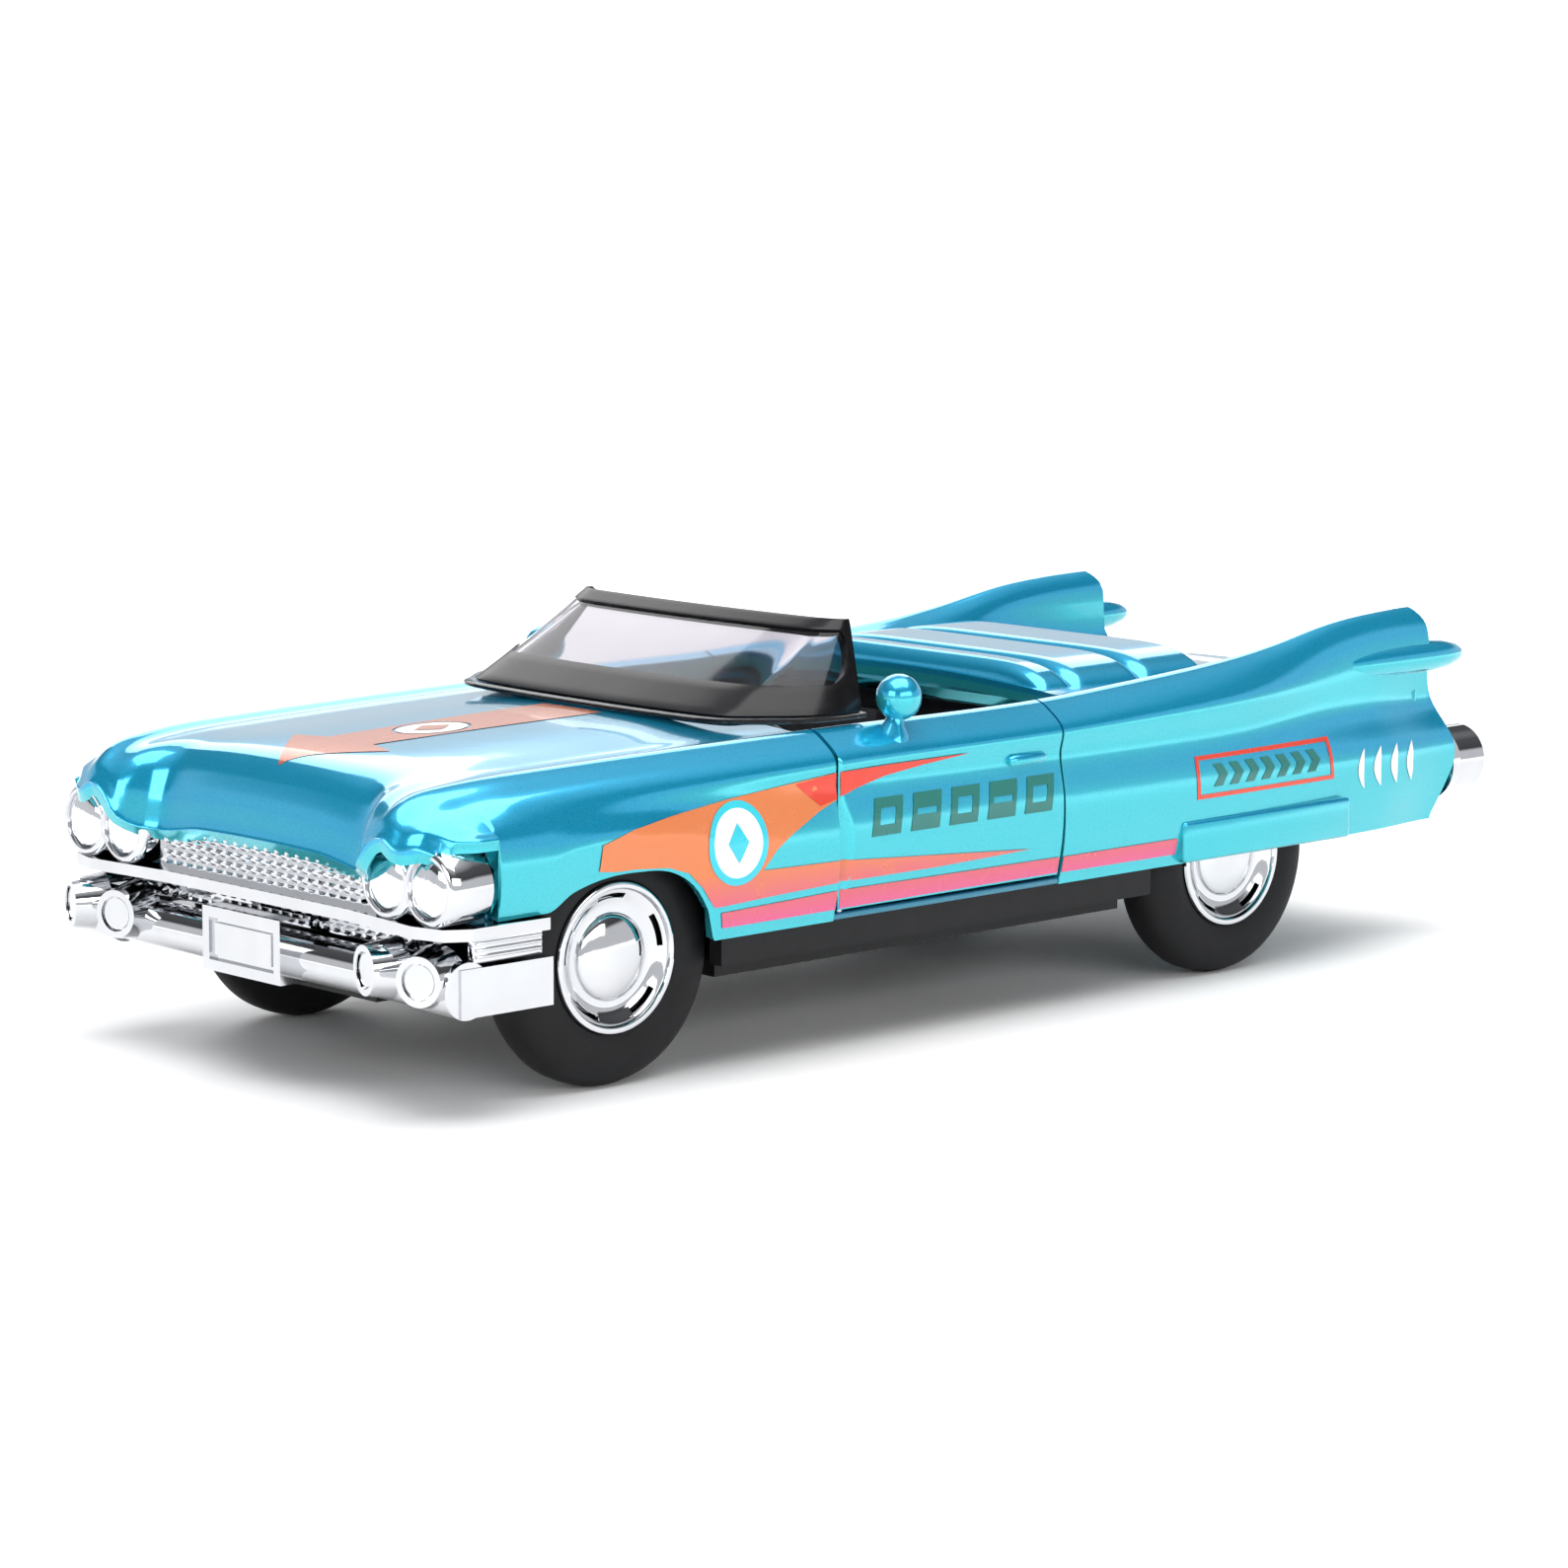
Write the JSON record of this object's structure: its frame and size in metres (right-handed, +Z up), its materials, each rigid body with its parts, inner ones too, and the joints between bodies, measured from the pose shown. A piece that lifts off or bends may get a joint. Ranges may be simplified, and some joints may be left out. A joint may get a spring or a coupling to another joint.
{
  "type": "pull back car",
  "caption": "Open-top toy car with tail fins, opening doors, plated bumpers and wheels, and a pull-back motor geared to the rear axle.",
  "frame": {"origin": "on the ground under the middle of the whole car", "axes": "+X forward, +Y to the car's left, +Z up"},
  "size_m": [0.1494, 0.0588, 0.0402],
  "materials": {
    "candy_body": "translucent turquoise lacquer over chrome plating",
    "pin_steel": "drawn wire and zinc plated screws",
    "smoked_clear": "smoke tinted clear plastic",
    "black_trim": "satin moulded black",
    "plated": "bright plated plastic",
    "base_black": "matte moulded black",
    "tyre_black": "smooth soft rubber",
    "gear_plastic": "natural off-white acetal",
    "spring_steel": "blued strip",
    "motor_plastic": "moulded black"
  },
  "bodies": {
    "base": {"body_shell": "candy_body", "hinge_pin_left": "pin_steel", "hinge_pin_right": "pin_steel", "windscreen_glass": "smoked_clear", "windscreen_frame": "black_trim", "interior_tub": "black_trim", "front_seat": "black_trim", "rear_seat": "black_trim", "dashboard": "black_trim", "steering_wheel": "black_trim", "headlamp_pod_left": "plated", "headlamp_pod_right": "plated", "grille": "plated", "front_bumper": "plated", "rear_bumper": "plated", "chassis_base": "base_black", "base_screws": "pin_steel", "transit_post": "base_black", "compound_pin": "pin_steel", "barrel_arbor": "pin_steel", "motor_housing": "motor_plastic", "motor_cover": "motor_plastic", "motor_screws": "pin_steel"},
    "left_door": {"door_left": "candy_body"},
    "right_door": {"door_right": "candy_body"},
    "front_wheels": {"front_axle": "pin_steel", "tyre_front_left": "tyre_black", "tyre_front_right": "tyre_black", "wheel_front_left": "plated", "wheel_front_right": "plated"},
    "rear_wheels": {"rear_axle": "pin_steel", "tyre_rear_left": "tyre_black", "tyre_rear_right": "tyre_black", "wheel_rear_left": "plated", "wheel_rear_right": "plated", "axle_pinion": "gear_plastic"},
    "compound": {"compound_gear": "gear_plastic"},
    "barrel": {"spring_barrel": "gear_plastic", "mainspring": "spring_steel"}
  },
  "joints": [
    {"name": "front_wheel_spin", "type": "hinge", "parent": "base", "child": "front_wheels", "pos_m": [0.0495, 0, 0.0122], "axis": [0, 1, 0], "continuous": true},
    {"name": "rear_wheel_spin", "type": "hinge", "parent": "base", "child": "rear_wheels", "pos_m": [-0.0345, 0, 0.0122], "axis": [0, 1, 0], "continuous": true},
    {"name": "compound_spin", "type": "hinge", "parent": "base", "child": "compound", "pos_m": [-0.02805, 0, 0.0122], "axis": [0, 1, 0], "continuous": true},
    {"name": "barrel_spin", "type": "hinge", "parent": "base", "child": "barrel", "pos_m": [-0.0208, 0, 0.0122], "axis": [0, 1, 0], "continuous": true},
    {"name": "left_door_hinge", "type": "hinge", "parent": "base", "child": "left_door", "pos_m": [0.02345, 0.027, 0.0205], "axis": [0, 0, -1], "range_deg": [0, 60]},
    {"name": "right_door_hinge", "type": "hinge", "parent": "base", "child": "right_door", "pos_m": [0.02345, -0.027, 0.0205], "axis": [0, 0, 1], "range_deg": [0, 60]}
  ],
  "couplings": [
    {"joint": "compound_spin", "follows": "rear_wheel_spin", "ratio": -0.45454},
    {"joint": "barrel_spin", "follows": "rear_wheel_spin", "ratio": 0.17483}
  ]
}
